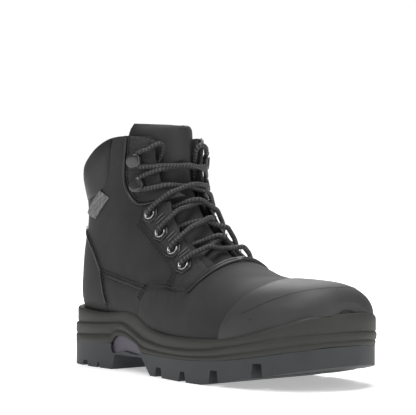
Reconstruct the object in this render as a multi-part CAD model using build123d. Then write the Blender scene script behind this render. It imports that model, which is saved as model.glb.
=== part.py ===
from build123d import *
import math
import os

# Safety-toe work boot, right foot, size 43. Millimetres.
# While it is built, X runs from the back of the heel (0) to the toe, +Y is the inner side of the
# foot and Z is up from the floor. Every piece is moved so that the origin is under the middle
# of the sole before it is written.

# ---------------------------------------------------------------- driving dimensions
sole_length = 306.0
sole_half_width = 56.0
leather = 2.2  # upper leather and fabric panels
lining_in = 4.4  # inner face of the lining, below the outer surface
cap_in = 4.2  # inner face of the steel toe cap
toe_lining_in = 5.4
counter_in = 3.3
bumper_out = 2.0  # how far the toe bumper stands proud
collar_foam_in = 7.0
collar_lining_in = 8.2
tongue_out_face = 10.4  # front of the tongue, below the outer surface: leaves room for the lace
tongue_thick = 5.0
tongue_panel = 1.5
tongue_crown = 2.5  # how much fuller the tongue is along its middle
tongue_half_width = 29.2
trim_out = 1.0  # piping, binding and label, above the outer surface
band_inset = 1.5  # the midsole's upper band stands back from its lower one
lace_r = 2.0
lace_bend = 2.4  # tightest bend of the lace's middle line
aglet_length = 15.0
lace_gap = 4.6  # from a hook's middle to the lace on either side of it
eyelet_hole_r = 2.9
eyelet_ring_r = 5.0
hex_across = 14.0
rivet_r = 1.5
far = 400.0  # longer than any piece
low_end = (Align.CENTER, Align.CENTER, Align.MIN)

# Ribs of the last: top x and z, bottom x and z, half width outside, half width inside,
# height of the widest line (0 top, 1 bottom), power of the roof, power of the floor.
ribs = [
    (301.0, 60, 301.0, 40, 12, 19, 0.50, 2.2, 2.2),
    (297.0, 66, 297.0, 35, 22, 30, 0.52, 2.2, 2.6),
    (289.0, 71, 289.0, 31, 31, 38, 0.55, 2.3, 3.0),
    (274.0, 74, 273.0, 27, 39.5, 45, 0.58, 2.3, 3.4),
    (250.0, 75, 248.0, 23.5, 47.5, 50, 0.62, 2.2, 3.8),
    (226.0, 76, 221.0, 22, 50.5, 51, 0.66, 2.1, 4.0),
    (205.0, 82, 193.0, 22, 50.5, 48, 0.70, 2.0, 4.0),
    (186.0, 92, 163.0, 24, 47.0, 42, 0.72, 2.0, 4.0),
    (168.0, 106, 128.0, 27, 43.5, 38, 0.70, 2.0, 3.8),
    (150.0, 123, 88.0, 30, 40.5, 37, 0.64, 2.0, 3.4),
    (137.0, 139, 45.0, 32, 39.0, 37.5, 0.58, 2.1, 3.0),
    (130.0, 151, 13.0, 38, 38.0, 37, 0.55, 2.2, 2.7),
    (127.0, 160, 8.0, 62, 37.5, 37, 0.54, 2.2, 2.6),
    (125.0, 168, 11.5, 92, 37.0, 36.5, 0.53, 2.2, 2.6),
    (124.0, 175, 16.0, 120, 37.5, 37, 0.52, 2.2, 2.6),
    (123.5, 183, 12.5, 145, 39.5, 39, 0.51, 2.2, 2.6),
    (123.0, 191, 12.0, 165, 40.5, 40, 0.50, 2.2, 2.6),
    (122.5, 212, 11.5, 187, 41.0, 40.5, 0.50, 2.2, 2.6),
]
nose_share = [1, 0.8, 0.5, 0.2]  # how much of an offset the first ribs also move along X
rib_steps = 16

# Side-view lines, x and z.
midsole_top = [(-8, 48.5), (0, 48), (20, 46.5), (60, 44), (90, 46), (102, 46), (116, 43), (129, 37),
               (150, 32.5), (175, 31.5), (205, 32), (232, 34), (258, 38.5), (282, 46), (300, 52), (316, 55)]
band_line = [(-8, 33), (20, 33.5), (64, 35), (87, 36.5), (98, 35), (110, 30.5), (125, 26), (146, 23.5),
             (175, 22.5), (205, 23.5), (233, 27), (282, 35.5), (300, 38.5), (316, 41)]
outsole_top = [(-8, 17), (24, 17.5), (76, 20.5), (90, 19), (108, 18), (124, 16.5), (150, 16), (180, 16.2),
               (210, 17), (234, 19), (271, 24.5), (300, 30), (316, 33)]
ground_line = [(-8, -1), (-8, 0), (80, 0), (83.5, 12), (124, 12.5), (138, 0), (212, 0), (240, 4.5),
               (270, 10), (300, 16), (316, 19.5), (316, -1)]
window = [(79, 15.5), (81, 24), (86, 27), (101, 26), (116, 21.5), (123, 15.5), (116, 14.2), (88, 14.2)]
board_line = [(-8, 37), (13, 36), (45, 34.5), (88, 32.5), (128, 29.8), (163, 27), (193, 25), (221, 25),
              (248, 26.8), (273, 30.2), (289, 34.2), (297, 38), (316, 46)]
throat = [(178, 66), (187, 79), (193, 93), (200, 120)]
wing = [(114, 0), (115, 45), (119, 56), (124, 63), (132, 66.5), (151, 66), (155, 65.7), (166, 64.5)]
vamp_area = wing + throat + [(330, 120), (330, 0)]
heel_edge = [(68, 0), (67, 45), (63, 62), (60, 74), (55, 83), (42, 99), (26, 111)]
backstay_area = heel_edge + [(-15, 112), (-15, 0)]
foxing_area = [(68, 0), (67, 45), (63, 62), (60, 74), (93, 68), (124, 63), (119, 56), (115, 45), (114, 0)]
collar_area = [(-15, 136), (30, 136), (50, 139), (60, 143), (68, 151), (72, 165), (77, 225), (-15, 225)]
quarter_front = [(106, 119), (116, 112), (129, 102), (144, 92), (156, 82), (157, 74), (155, 65.7)]
facing_foot = [(106, 131.5), (128, 137), (160, 140), (200, 120)]
eyestay_area = quarter_front + [(166, 64.5)] + throat[:-1] + facing_foot[::-1]
facing_area = [(94, 225), (92, 183), (88, 155), (91, 142), (98, 134)] + facing_foot + [(200, 225)]
quarter_area = ([(-15, 112)] + heel_edge[:3:-1] + [(60, 74), (93, 68), (124, 63), (132, 66.5), (151, 66)]
                + quarter_front[::-1] + [(106, 131.5), (98, 134), (91, 142), (88, 155), (92, 183), (94, 225)]
                + collar_area[-2:0:-1] + [(-15, 136)])
top_line = [(-15, 160), (12, 163), (33, 169), (52, 178), (69, 184), (92, 186), (112, 183.5), (124, 178),
            (140, 172)]
bumper_edge = [(226, 0), (226, 33), (229, 44), (235, 55), (242, 65), (249, 73), (252, 90)]
tongue_area = [(86, 196), (82, 191), (82, 176), (86, 160), (98, 143), (113, 124), (136, 104), (160, 87),
               (180, 73), (196, 66), (202, 74), (203, 86), (190, 110), (160, 150), (135, 191), (110, 193),
               (92, 197.5)]
gap_front_view = [(-18, 78), (-21, 95), (-22.5, 110), (-22.5, 150), (-24, 178), (-25, 225),
                  (25, 225), (24, 178), (22.5, 150), (22.5, 110), (21, 95), (18, 78)]
throat_line = [(176, 64), (181, 69), (188, 79), (194, 93), (196, 100)]
facing_edge = [(93, 187), (92, 183), (88, 155), (91, 142), (98, 134), (106, 131.5), (128, 137), (150, 139)]
label_area = [(58, 143), (70, 137), (50, 120), (31, 125)]
tongue_split = 152  # height where the padded top of the tongue starts

# Eyelets and hooks from the toe end up: side-view centre, and the way towards the front there.
eyelet_spots = [(162, 85, (0.62, 0.78)), (145.6, 96.6, (0.62, 0.78)), (128.6, 109.6, (0.65, 0.76)),
                (114.4, 124, (0.75, 0.66))]
hook_spots = [(101, 146, (0.92, 0.39)), (99, 166, (1.0, 0.08))]

# Sole outline, x with the outer and the inner half width.
outline = [(3, 16, 16), (10, 28, 28), (22, 36.5, 36.5), (40, 41, 41), (60, 42.5, 42), (85, 42, 40.5),
           (110, 43.5, 39), (135, 47, 39.5), (160, 51.5, 42.5), (185, 55, 47.5), (210, 56, 52.5),
           (232, 54.5, 56), (252, 51.5, 54.5), (270, 45.5, 51), (286, 37, 44.5), (298, 25.5, 33)]

channels = [(16, 78), (142, 216)]
lug_notches = [(36, 45), (59, 63), (147, 157), (184, 192), (220, 229), (259, 268)]


# ---------------------------------------------------------------- helpers
def spline_side(points):
    """A spline through side-view points."""
    return Spline(*[(x, 0, z) for x, z in points])


def prism_y(face_edges, y0=-far / 2, y1=far / 2):
    """Side-view edges closed into a face and pushed across the boot from y0 to y1."""
    return extrude(Pos(0, y0, 0) * make_face(face_edges), amount=y1 - y0, dir=(0, 1, 0))


def polygon_y(points, y0=-far / 2, y1=far / 2):
    """A side-view polygon pushed across the boot."""
    return prism_y(Polyline(*[(x, 0, z) for x, z in points], close=True), y0, y1)


def smooth_y(points, y0=-far / 2, y1=far / 2):
    """A side-view closed curve pushed across the boot."""
    return prism_y(Spline(*[(x, 0, z) for x, z in points], periodic=True), y0, y1)


def below(line, floor=-60.0):
    """Everything under a side-view spline."""
    (x0, z0), (x1, z1) = line[0], line[-1]
    walls = Polyline((x1, 0, z1), (x1, 0, floor), (x0, 0, floor), (x0, 0, z0))
    return prism_y([spline_side(line), *walls.edges()])


def sole_prism(inset, z0, z1):
    """The sole outline as an upright block, stood back by inset."""
    heel, toe = (inset, 0), (sole_length - inset, 9)
    halves = []
    for side in (-1, 1):
        rim = [heel] + [(x, side * (outer if side < 0 else inner)) for x, outer, inner in outline] + [toe]
        points = [heel]
        for before, spot, after in zip(rim, rim[1:], rim[2:]):
            length = math.hypot(after[0] - before[0], after[1] - before[1])
            nx, ny = (after[1] - before[1]) / length, (before[0] - after[0]) / length
            points.append((spot[0] + nx * side * inset, spot[1] + ny * side * inset))
        halves.append(Spline(*points, toe, tangents=[(0, side), (0, -side)], tangent_scalars=[0.5, 0.5]))
    return extrude(Pos(0, 0, z0) * make_face(halves), amount=z1 - z0, dir=(0, 0, 1))


def rib_points(k, grow, crown=0):
    """Points round rib k, grown outwards by grow, with its middle raised by crown."""
    tx, tz, bx, bz, wide_out, wide_in, wide_at, roof, floor = ribs[k]
    length = math.hypot(bx - tx, bz - tz)
    ux, uz = (bx - tx) / length, (bz - tz) / length
    along = grow * nose_share[k] if k < len(nose_share) else 0
    middle = wide_at * length
    points = []
    for i in range(rib_steps):
        turn = 2 * math.pi * i / rib_steps
        c, s = math.cos(turn), math.sin(turn)
        power, height = (roof, middle + grow) if c > 0 else (floor, length + grow - middle)
        half = (wide_out if s < 0 else wide_in) + grow
        y = half * math.copysign(abs(s) ** (2 / power), s)
        lift = crown * max(0, c) ** 8
        down = middle - height * math.copysign(abs(c) ** (2 / power), c) - lift
        points.append(Vector(tx + ux * down + along, y, tz + uz * down))
    return points


def last_solid(grow, first=0, last=len(ribs), crown=0):
    """The foot shape between two ribs, grown outwards by grow."""
    return loft([make_face(Spline(*rib_points(k, grow, crown), periodic=True)) for k in range(first, last)])


def on_ray(solid, start, heading):
    """Outermost point and outward normal where a ray leaves a solid."""
    start, heading = Vector(*start), Vector(*heading).normalized()
    ray = Edge.make_line(start, start + heading * 120)
    spots = [p for e in ray.intersect(solid).edges() for p in (e @ 0, e @ 1)]
    spot = max(spots, key=lambda p: (p - start).length)
    face = min(solid.faces(), key=lambda f: f.distance_to(Vertex(*spot)))
    normal = face.normal_at(spot)
    return spot, normal if normal.dot(heading) > 0 else -normal


def seat(x, z, side, front):
    """Plane on the outer surface: z outwards, x the way the laces leave."""
    spot, normal = on_ray(skin, (x, 0, z), (0, side, 0))
    toward = Vector(front[0], 0, front[1])
    return Plane(origin=spot, x_dir=toward - normal * normal.dot(toward), z_dir=normal)


def band_y(points, width):
    """A strip of even width along a side-view line, pushed across the boot."""
    left, right = [], []
    for i, (x, z) in enumerate(points):
        x0, z0 = points[max(0, i - 1)]
        x1, z1 = points[min(len(points) - 1, i + 1)]
        length = math.hypot(x1 - x0, z1 - z0)
        nx, nz = (z0 - z1) / length * width / 2, (x1 - x0) / length * width / 2
        left.append((x + nx, z + nz))
        right.append((x - nx, z - nz))
    return polygon_y(left + right[::-1])


def sides(piece):
    """Outer and inner halves of a piece that both sides have."""
    cut = Box(far, far, far, align=(Align.CENTER, Align.MAX, Align.CENTER))
    return piece & cut, piece - cut


def largest(piece, count=1):
    """Drops slivers: the largest solids only."""
    kept = sorted(piece.solids(), key=lambda s: -s.volume)[:count]
    return kept[0] if count == 1 else Compound(children=kept)


def keep(name, piece, count=1):
    """Writes one node, its origin moved under the middle of the sole."""
    piece = largest(piece, count)
    piece = piece.moved(Location((-sole_length / 2, 0, 0)))
    export_step(piece, f"parts/{name}.step")


def eyelet(plane):
    """Hexagonal plate, rolled ring and barrel of one eyelet."""
    hexagon = extrude(RegularPolygon(hex_across / 2, 6), amount=0.7)
    ring = Pos(0, 0, 0.7) * Cylinder(eyelet_ring_r, 1.0, align=low_end)
    barrel = Pos(0, 0, -5.5) * Cylinder(eyelet_hole_r + 0.5, 6.2, align=low_end)
    bore = Cylinder(eyelet_hole_r, 30)
    return plane * Pos(0, 0, 0.3) * (hexagon + ring + barrel - bore)


def hook(plane):
    """Base plate, web at the tongue side and the lip that the lace runs under."""
    base = Pos(0, 0, 0.8) * Box(13, 11, 0.9)
    web = Pos(5.7, 0, 3.6) * Box(1.2, 4.6, 5.6)
    lip = Pos(0.8, 0, 6.3) * Box(11.0, 10, 0.9)
    return plane * (base + web + lip - Cylinder(rivet_r, 2.5))


def rivet(plane):
    """Rivet through the base plate and the facing, its head behind the facing."""
    stem = Pos(0, 0, -leather) * Cylinder(rivet_r, leather + 1.25, align=low_end)
    head = Pos(0, 0, -leather - 0.9) * Cylinder(rivet_r + 1.4, 0.9, align=low_end)
    return plane * (stem + head)


# ---------------------------------------------------------------- shells of the upper
os.makedirs("parts", exist_ok=True)
skin = last_solid(0)
skin_in = last_solid(-leather)
board_zone = below(board_line)
inner_floor = below([(x, z + 0.7) for x, z in board_line])
over_top = prism_y([spline_side(top_line), *Polyline((140, 0, 172), (140, 0, 260), (-15, 0, 260),
                                                     (-15, 0, 160)).edges()])
gap = Pos(75, 0, 0) * extrude(
    make_face(Polyline(*[(0, y, z) for y, z in gap_front_view], close=True)), amount=115, dir=(1, 0, 0))
vamp_zone = polygon_y(vamp_area)
backstay_zone = polygon_y(backstay_area)
foxing_zone = polygon_y(foxing_area)
collar_zone = polygon_y(collar_area)
eyestay_zone = polygon_y(eyestay_area)
facing_zone = polygon_y(facing_area)
whole_upper = skin - over_top - board_zone

# ---------------------------------------------------------------- sole unit
upper_band = sole_prism(band_inset, -10, 70) & below(midsole_top)
lower_band = sole_prism(0, -10, 70) & below(band_line)
rubber_block = (sole_prism(0, -10, 70) & below(outsole_top)) - polygon_y(ground_line)
window_hole = smooth_y(window)
foam_core = sole_prism(8, 11, 30) & below([(-8, 29), (60, 30), (78, 30)])
midsole = (upper_band + lower_band) - below(outsole_top) - skin
midsole = (midsole + (foam_core & below(outsole_top))) - window_hole - skin
outsole = rubber_block - foam_core - window_hole
for x0, x1 in lug_notches:
    rise = 4.5 if x0 < 100 else 7.5 + max(0, (x0 - 200) * 0.19)
    wedge = [(x0 - 1, -1), (x0 + 1.5, rise), (x1 - 1, rise), (x1 + 1, -1)]
    for side in (-1, 1):
        y0, y1 = sorted((side * 22, side * 80))
        outsole -= polygon_y(wedge, y0, y1)
    shallow = [(x, z if z < 0 else z - 3) for x, z in wedge]
    outsole -= polygon_y(shallow, -80, 80)
for x0, x1 in channels:
    outsole -= polygon_y([(x0, -1), (x0, 3.2), (x1, 3.2), (x1, -1)], -5, 5)
window_in = [(x + (101 - x) * 0.012, z + (20 - z) * 0.03) for x, z in window]
shank = sole_prism(2, 0, 60) & smooth_y(window_in)
keep("outsole", outsole)
keep("midsole", midsole)
keep("shank_stabilizer", shank)

# ---------------------------------------------------------------- under the foot
keep("insole_board", (skin & board_zone) - skin_in)
plate_zone = below([(x, z + 0.6) for x, z in board_line]) & polygon_y([(22, 0), (22, 60), (284, 60), (284, 0)])
keep("puncture_plate", last_solid(-leather - 0.05) & plate_zone)
bed_zone = below([(x, z + 6.0) for x, z in board_line]) - below([(x, z + 0.8) for x, z in board_line])
bed_ends = polygon_y([(15, 0), (15, 90), (288, 90), (288, 0)])
keep("footbed", last_solid(-toe_lining_in - 1.2) & bed_zone & bed_ends)

# ---------------------------------------------------------------- toe
cap_inside = last_solid(-cap_in)
toe_inside = last_solid(-toe_lining_in)
cap_zone = polygon_y([(252, 0), (250, 40), (246, 60), (240, 90), (330, 90), (330, 0)])
strip_zone = polygon_y([(244, 0), (242, 40), (238, 60), (232, 90), (240, 90), (246, 60), (250, 40), (252, 0)])
toe_zone = cap_zone + strip_zone
keep("steel_toe_cap", (skin_in & cap_zone) - cap_inside - inner_floor)
keep("cap_edge_strip", (skin_in & strip_zone) - cap_inside - inner_floor)
keep("toe_lining", (cap_inside & toe_zone) - toe_inside - inner_floor)
bumper_zone = polygon_y(bumper_edge + [(330, 90), (330, 0)])
keep("toe_bumper", (last_solid(bumper_out, 0, 9) & bumper_zone) - skin - below(midsole_top))

# ---------------------------------------------------------------- eyelets and hooks
eyelet_frames = {s: [seat(x, z, s, front) for x, z, front in eyelet_spots] for s in (-1, 1)}
hook_frames = {s: [seat(x, z, s, front) for x, z, front in hook_spots] for s in (-1, 1)}
drills = [plane * Cylinder(eyelet_hole_r + 0.5, 24) for s in (-1, 1) for plane in eyelet_frames[s]]
rivet_holes = [plane * Cylinder(rivet_r, 24) for s in (-1, 1) for plane in hook_frames[s]]
rivet_pockets = [plane * Pos(0, 0, -leather - 1) * Cylinder(rivet_r + 1.5, 2.4)
                 for s in (-1, 1) for plane in hook_frames[s]]
for side, name in ((-1, "outer"), (1, "inner")):
    keep(f"eyelets_{name}", Compound(children=[eyelet(p) for p in eyelet_frames[side]]), 4)
    keep(f"hooks_{name}", Compound(children=[hook(p) for p in hook_frames[side]]), 2)
    keep(f"hook_rivets_{name}", Compound(children=[rivet(p) for p in hook_frames[side]]), 2)

# ---------------------------------------------------------------- panels
eyestay = (whole_upper & eyestay_zone) - skin_in - gap
facing = (whole_upper & facing_zone) - skin_in - gap
quarter = (whole_upper & polygon_y(quarter_area)) - skin_in
for drill in drills:
    eyestay -= drill
for hole in rivet_holes:
    facing -= hole
foxing = (whole_upper & foxing_zone) - skin_in
keep("vamp", (whole_upper & vamp_zone) - skin_in - gap)
keep("backstay", (whole_upper & backstay_zone) - skin_in)
keep("collar", (whole_upper & collar_zone) - skin_in)
for name, piece in (("foxing", foxing), ("quarter", quarter), ("eyestay", eyestay), ("hook_facing", facing)):
    outer, inner = sides(piece)
    keep(f"{name}_outer", outer)
    keep(f"{name}_inner", inner)

# ---------------------------------------------------------------- piping, binding and label
trim = last_solid(trim_out)
keep("throat_binding", (trim & band_y(throat_line, 4.0)) - skin - gap)
backstay_piping = (trim & band_y(heel_edge[1:], 2.4)) - skin
facing_piping = (trim & band_y(facing_edge, 2.2)) - skin - gap
for name, piece in (("backstay_piping", backstay_piping), ("facing_piping", facing_piping)):
    outer, inner = sides(piece)
    keep(f"{name}_outer", outer)
    keep(f"{name}_inner", inner)
keep("side_label", sides((trim & polygon_y(label_area)) - skin)[0])

# ---------------------------------------------------------------- lining, counter, collar foam
counter_zone = polygon_y([(-15, 0), (-15, 86), (30, 86), (60, 66), (84, 40), (84, 0)])
counter_in_solid = last_solid(-counter_in)
lining_face = last_solid(-lining_in)
foam_face = last_solid(-collar_foam_in)
keep("heel_counter", (skin_in & counter_zone) - counter_in_solid - inner_floor)
keep("heel_lining", (counter_in_solid & counter_zone) - lining_face - inner_floor)
collar_inside = (skin_in & collar_zone) - over_top
keep("collar_foam", collar_inside - foam_face)
keep("collar_lining", (collar_inside & foam_face) - last_solid(-collar_lining_in))
lining = skin_in - lining_face - over_top - inner_floor - toe_zone - gap - counter_zone - collar_zone
for drill in drills + rivet_pockets:
    lining -= drill
keep("lining", lining)

# ---------------------------------------------------------------- tongue
tongue_front = last_solid(-tongue_out_face, 5, crown=tongue_crown)
tongue_under = last_solid(-tongue_out_face - tongue_panel, 5, crown=tongue_crown)
tongue_back = last_solid(-tongue_out_face - tongue_thick, 5, crown=tongue_crown)
tongue_zone = polygon_y(tongue_area) & Box(500, 2 * tongue_half_width, 500)
pad_zone = polygon_y([(60, tongue_split), (220, tongue_split), (220, 260), (60, 260)]) & tongue_zone
keep("tongue_body", (tongue_front & (tongue_zone - pad_zone)) - tongue_back)
keep("tongue_pad", (tongue_under & pad_zone) - tongue_back)
keep("tongue_panel", (tongue_front & pad_zone) - tongue_under)

# ---------------------------------------------------------------- lace
# A strand crosses the boot from one level to another. It is laid as (angle, height) pairs:
# 90 is over the hole it leaves, 0 the middle of the boot, -90 the hole it reaches,
# and the height is that of the lace's middle above the outer surface.
over_out = [(76, 4.1), (64, 3.0), (54, 2.6), (45, 2.3)]
under_out = [(78, -6.9), (61, -6.8), (46, -6.7), (34, -6.1), (23, -5.2), (11, -4.4)]
low = [(0, -4.1)]
low_drop = [(34, -1.0), (23, -3.6), (11, -4.3)]
high = [(0, 0.0)]
high_drop = [(34, 0.2), (23, -0.8), (11, -0.4)]
high_under = [(11, -1.1), (23, -3.6), (34, -5.6), (46, -6.7), (61, -6.8), (78, -6.9)]
bar = [(0, -4.0), (11, -3.9), (23, -3.0), (34, -0.8)]
tail = [(97, 174, 68, 2.9), (97, 178, 57, 2.6), (97, 180, 47, -0.8), (97, 176, 42, -4.6), (97, 169, 48, -6.5),
        (97, 160, 58, -6.8), (97, 151, 64, -6.8)]


def strand(start, end, side, heights):
    """Points of the lace from a level on one side to a level on the other."""
    points = []
    for angle, height in heights:
        t = (90 - angle) / 180
        x, z = (a + (b - a) * t for a, b in zip(start[:2], end[:2]))
        fx, fz = (a + (b - a) * t for a, b in zip(start[2], end[2]))
        c, s = math.cos(math.radians(angle)), math.sin(math.radians(angle))
        spot, normal = on_ray(skin, (x, 0, z), (fx * c, side * s, fz * c))
        points.append(spot + normal * height)
    return points


def along(plane, *local):
    return [plane.from_local_coords(Vector(*p)) for p in local]


def hook_level(k, shift):
    """Level of a strand that passes below (-) or above (+) a hook."""
    x, z, front = hook_spots[k]
    return x - front[1] * shift, z + front[0] * shift, front


def rounded_path(points, radius):
    """Straight runs and tangent arcs through a list of points."""
    edges, last = [], points[0]
    for before, corner, after in zip(points, points[1:], points[2:]):
        a, b = (before - corner), (after - corner)
        angle = math.radians(a.get_angle(b))
        reach = min(radius / math.tan(angle / 2), 0.45 * min(a.length, b.length))
        start, end = corner + a.normalized() * reach, corner + b.normalized() * reach
        bend = (a.normalized() + b.normalized()).normalized()
        arc_radius = reach * math.tan(angle / 2)
        middle = corner + bend * (arc_radius / math.sin(angle / 2) - arc_radius)
        edges.append(Edge.make_line(last, start))
        edges.append(Edge.make_three_point_arc(start, middle, end))
        last = end
    edges.append(Edge.make_line(last, points[-1]))
    return Wire(edges)


def mirrored(heights):
    return [(-angle, height) for angle, height in reversed(heights)]


def half_lace(first, drop, middle, inward):
    """The lace from the middle of its lowest bar, up one zigzag, to its end."""
    side = first
    points = strand(eyelet_spots[0], eyelet_spots[0], side, bar + over_out[::-1])
    points += along(eyelet_frames[side][0], (0, 0, 4.8), (0, 0, -7.2))
    for k in range(3):
        heights = (over_out + drop if k else mirrored(inward)) + middle + inward
        points += strand(eyelet_spots[k], eyelet_spots[k + 1], side, heights)
        side = -side
        points += along(eyelet_frames[side][k + 1], (0, 0, -7.2), (0, 0, 4.8))
    level = eyelet_spots[3]
    for k in range(2):
        heights = over_out + drop + middle + mirrored(over_out + drop)
        points += strand(level, hook_level(k, -lace_gap), side, heights)
        side = -side
        points += along(hook_frames[side][k], (2.6, lace_gap * side, 3.5), (2.6, -lace_gap * side, 3.5))
        level = hook_level(k, lace_gap)
    points += along(hook_frames[side][1], (9, -7.0 * side, 3.4))
    for x, z, angle, height in tail:
        c, s = math.cos(math.radians(angle)), math.sin(math.radians(angle))
        spot, normal = on_ray(skin, (x, 0, z), (c, side * s, 0))
        points.append(spot + normal * height)
    return points


low_half = half_lace(-1, low_drop, low, mirrored(under_out))
high_half = half_lace(1, high_drop, high, mirrored(high_under[::-1]))
lace_path = rounded_path(low_half[:0:-1] + high_half, lace_bend)
lace = sweep(Plane(origin=lace_path @ 0, z_dir=lace_path % 0) * Circle(lace_r), path=lace_path)
keep("lace", lace)
aglets = []
for end, sign in ((0, -1), (1, 1)):
    tip, heading = lace_path @ end, (lace_path % end) * sign
    aglets.append(Plane(origin=tip, z_dir=heading) * Cylinder(lace_r + 0.1, aglet_length, align=low_end))
keep("aglets", Compound(children=aglets), 2)
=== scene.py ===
import bmesh
import bpy
import math
import numpy as np
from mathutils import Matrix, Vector
from mathutils.bvhtree import BVHTree
from mathutils.geometry import delaunay_2d_cdt


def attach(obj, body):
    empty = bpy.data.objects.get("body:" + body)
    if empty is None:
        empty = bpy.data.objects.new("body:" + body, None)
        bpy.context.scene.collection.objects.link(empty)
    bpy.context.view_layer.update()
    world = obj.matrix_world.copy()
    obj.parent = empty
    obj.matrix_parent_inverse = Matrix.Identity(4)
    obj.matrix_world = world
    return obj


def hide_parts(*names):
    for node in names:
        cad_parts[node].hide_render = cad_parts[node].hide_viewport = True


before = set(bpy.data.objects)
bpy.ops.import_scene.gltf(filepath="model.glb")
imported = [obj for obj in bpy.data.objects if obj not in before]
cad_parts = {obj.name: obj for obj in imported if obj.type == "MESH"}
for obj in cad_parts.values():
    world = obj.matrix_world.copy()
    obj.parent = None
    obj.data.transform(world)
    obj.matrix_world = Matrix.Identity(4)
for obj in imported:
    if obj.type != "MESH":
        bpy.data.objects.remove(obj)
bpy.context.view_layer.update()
print("frame loaded")

# the foot shape, in millimetres from the back of the heel: top x z, bottom x z, outer and inner half width,
# place of the widest line, power of the roof, power of the floor
lastRibs = np.array([
    (302.6, 55, 302.6, 46, 5, 9, 0.50, 2.2, 2.2), (301.0, 60, 301.0, 40, 12, 19, 0.50, 2.2, 2.2),
    (297.0, 66, 297.0, 35, 22, 30, 0.52, 2.2, 2.6), (289.0, 71, 289.0, 31, 31, 38, 0.55, 2.3, 3.0),
    (274.0, 74, 273.0, 27, 39.5, 45, 0.58, 2.3, 3.4), (250.0, 75, 248.0, 23.5, 47.5, 50, 0.62, 2.2, 3.8),
    (226.0, 76, 221.0, 22, 50.5, 51, 0.66, 2.1, 4.0), (205.0, 82, 193.0, 22, 50.5, 48, 0.70, 2.0, 4.0),
    (186.0, 92, 163.0, 24, 47.0, 42, 0.72, 2.0, 4.0), (168.0, 106, 128.0, 27, 43.5, 38, 0.70, 2.0, 3.8),
    (150.0, 123, 88.0, 30, 40.5, 37, 0.64, 2.0, 3.4), (137.0, 139, 45.0, 32, 39.0, 37.5, 0.58, 2.1, 3.0),
    (130.0, 151, 13.0, 38, 38.0, 37, 0.55, 2.2, 2.7), (127.0, 160, 8.0, 62, 37.5, 37, 0.54, 2.2, 2.6),
    (125.0, 168, 11.5, 92, 37.0, 36.5, 0.53, 2.2, 2.6), (124.0, 175, 16.0, 120, 37.5, 37, 0.52, 2.2, 2.6),
    (123.5, 183, 12.5, 145, 39.5, 39, 0.51, 2.2, 2.6), (123.0, 191, 12.0, 165, 40.5, 40, 0.50, 2.2, 2.6),
    (122.5, 212, 11.5, 187, 41.0, 40.5, 0.50, 2.2, 2.6)])
noseShare = np.array([1.25, 1, 0.8, 0.5, 0.2] + [0] * 14)
halfSole = 153.0  # the frame's origin is this far in front of the heel


def splineTable(table):
    # natural cubic spline through the rows, read at any row number
    n = len(table)
    a = np.eye(n) * 4
    a[0, 0] = a[-1, -1] = 2
    a += np.eye(n, k=1) + np.eye(n, k=-1)
    d = np.zeros_like(table)
    d[1:-1] = 3 * (table[2:] - table[:-2])
    d[0] = 3 * (table[1] - table[0])
    d[-1] = 3 * (table[-1] - table[-2])
    slopes = np.linalg.solve(a, d)

    def read(s):
        s = np.clip(np.asarray(s, float), 0, n - 1.0001)
        k = s.astype(int)
        t = (s - k)[:, None]
        p0, p1, m0, m1 = table[k], table[k + 1], slopes[k], slopes[k + 1]
        return ((2 * t**3 - 3 * t**2 + 1) * p0 + (t**3 - 2 * t**2 + t) * m0
                + (-2 * t**3 + 3 * t**2) * p1 + (t**3 - t**2) * m1)
    return read


readRib = splineTable(np.column_stack([lastRibs, noseShare]))


def onLast(s, turn, grow=0.0, crown=0.0):
    # points of the foot shape at rib number s and angle turn (0 is the crest, plus is the inner side)
    s, turn = np.broadcast_arrays(np.asarray(s, float), np.asarray(turn, float))
    grow = np.broadcast_to(np.asarray(grow, float), s.shape)
    flat = readRib(s.ravel()).reshape(s.shape + (10,))
    tx, tz, bx, bz, wideOut, wideIn, wideAt, roof, floor, nose = np.moveaxis(flat, -1, 0)
    length = np.hypot(bx - tx, bz - tz)
    ux, uz = (bx - tx) / length, (bz - tz) / length
    c, w = np.cos(turn), np.sin(turn)
    middle = wideAt * length
    power = np.where(c > 0, roof, floor)
    height = np.where(c > 0, middle + grow, length + grow - middle)
    half = np.where(w < 0, wideOut, wideIn) + grow
    y = half * np.sign(w) * np.abs(w) ** (2 / power)
    down = middle - height * np.sign(c) * np.abs(c) ** (2 / power) - crown * np.maximum(0, c) ** 8
    return np.stack([tx + ux * down + grow * np.clip(nose, 0, 2), y, tz + uz * down], -1)


def outward(s, turn, crown=0.0):
    e = 0.02
    ds = onLast(np.minimum(s + e, 17.99), turn, 0, crown) - onLast(np.maximum(s - e, 0.0), turn, 0, crown)
    dt = onLast(s, turn + e, 0, crown) - onLast(s, turn - e, 0, crown)
    n = np.cross(dt, ds)
    n /= np.maximum(np.linalg.norm(n, axis=-1, keepdims=True), 1e-9)
    centre = onLast(s, turn * 0, -8.0) * 0.5 + onLast(s, turn * 0 + math.pi, -8.0) * 0.5
    flip = np.sign(((onLast(s, turn) - centre) * n).sum(-1, keepdims=True))
    return n * np.where(flip == 0, 1, flip)


def raised(s, turn, height, crown=0.0):
    s, turn = np.asarray(s, float), np.asarray(turn, float)
    return onLast(s, turn, 0, crown) + outward(s, turn, crown) * np.asarray(height, float)[..., None]


seekS = np.linspace(0, 17.99, 361)
seekTurn = np.linspace(0, math.pi, 181)
seekGrid = {side: onLast(seekS[:, None], side * seekTurn[None, :]) for side in (-1, 1)}


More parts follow.
